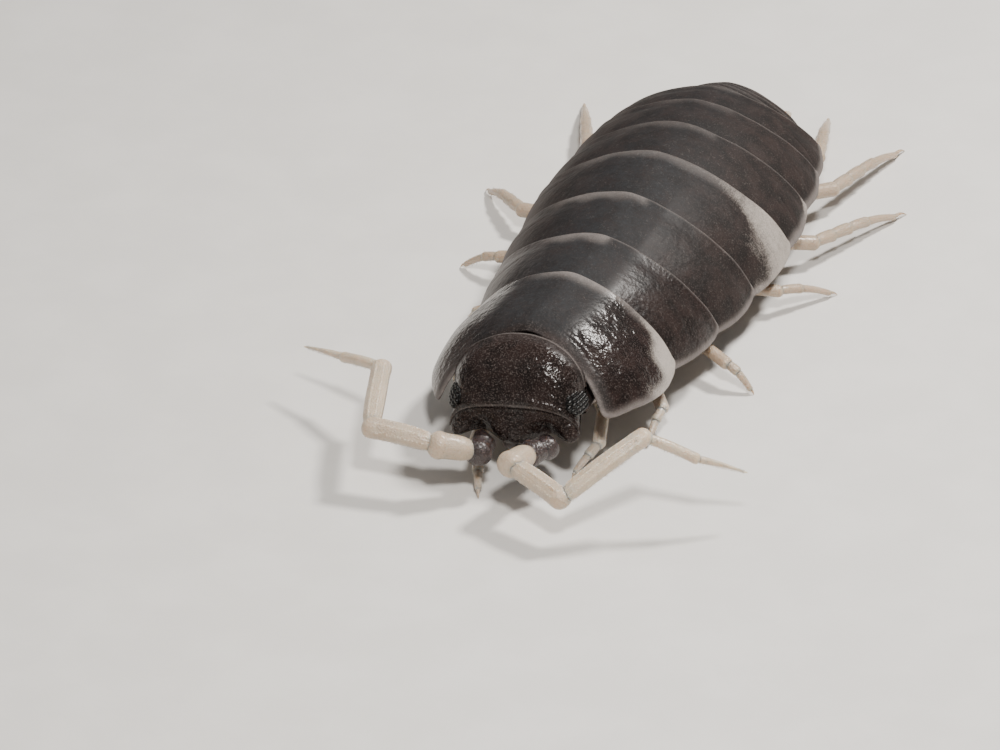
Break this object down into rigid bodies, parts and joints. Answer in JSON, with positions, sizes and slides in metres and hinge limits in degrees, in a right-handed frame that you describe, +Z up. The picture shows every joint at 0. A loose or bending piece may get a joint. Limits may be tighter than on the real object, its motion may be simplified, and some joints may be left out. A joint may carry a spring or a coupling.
{
  "type": "woodlouse",
  "caption": "Life-size still model of a pied woodlouse, standing with bent feelers, arched back plates, a stepped tail and pale legs on small flat toes.",
  "frame": {"origin": "on the ground, at the middle of the box round the whole animal", "axes": "+Z up, the head looks towards -Y, and +X is the animal's left"},
  "size_m": [0.0084, 0.0152, 0.0026],
  "materials": {
    "cuticle": "dark purple-grey shell with fine pale speckling, a soft bluish sheen and thin pale margins",
    "pale_cuticle": "grey-white, slightly translucent shell",
    "antenna": "warm white, finely granular and waxy, with dark purple first articles",
    "leg": "cream white, translucent and smooth",
    "eye": "glossy black, a dome of many small lenses"
  },
  "bodies": {
    "root": {"head": "cuticle", "eye_left": "eye", "eye_right": "eye", "antenna_left": "antenna", "antenna_right": "antenna", "mouthparts": "pale_cuticle", "pereonite_1": "cuticle", "pereonite_2": "cuticle", "pereonite_3": "cuticle", "pereonite_4": "cuticle", "pereonite_5": "cuticle", "pereonite_6": "cuticle", "pereonite_7": "cuticle", "pleon": "cuticle", "telson": "cuticle", "uropod_left": "pale_cuticle", "uropod_right": "pale_cuticle", "leg_left_1": "leg", "leg_left_2": "leg", "leg_left_3": "leg", "leg_left_4": "leg", "leg_left_5": "leg", "leg_left_6": "leg", "leg_left_7": "leg", "leg_right_1": "leg", "leg_right_2": "leg", "leg_right_3": "leg", "leg_right_4": "leg", "leg_right_5": "leg", "leg_right_6": "leg", "leg_right_7": "leg"}
  },
  "joints": []
}
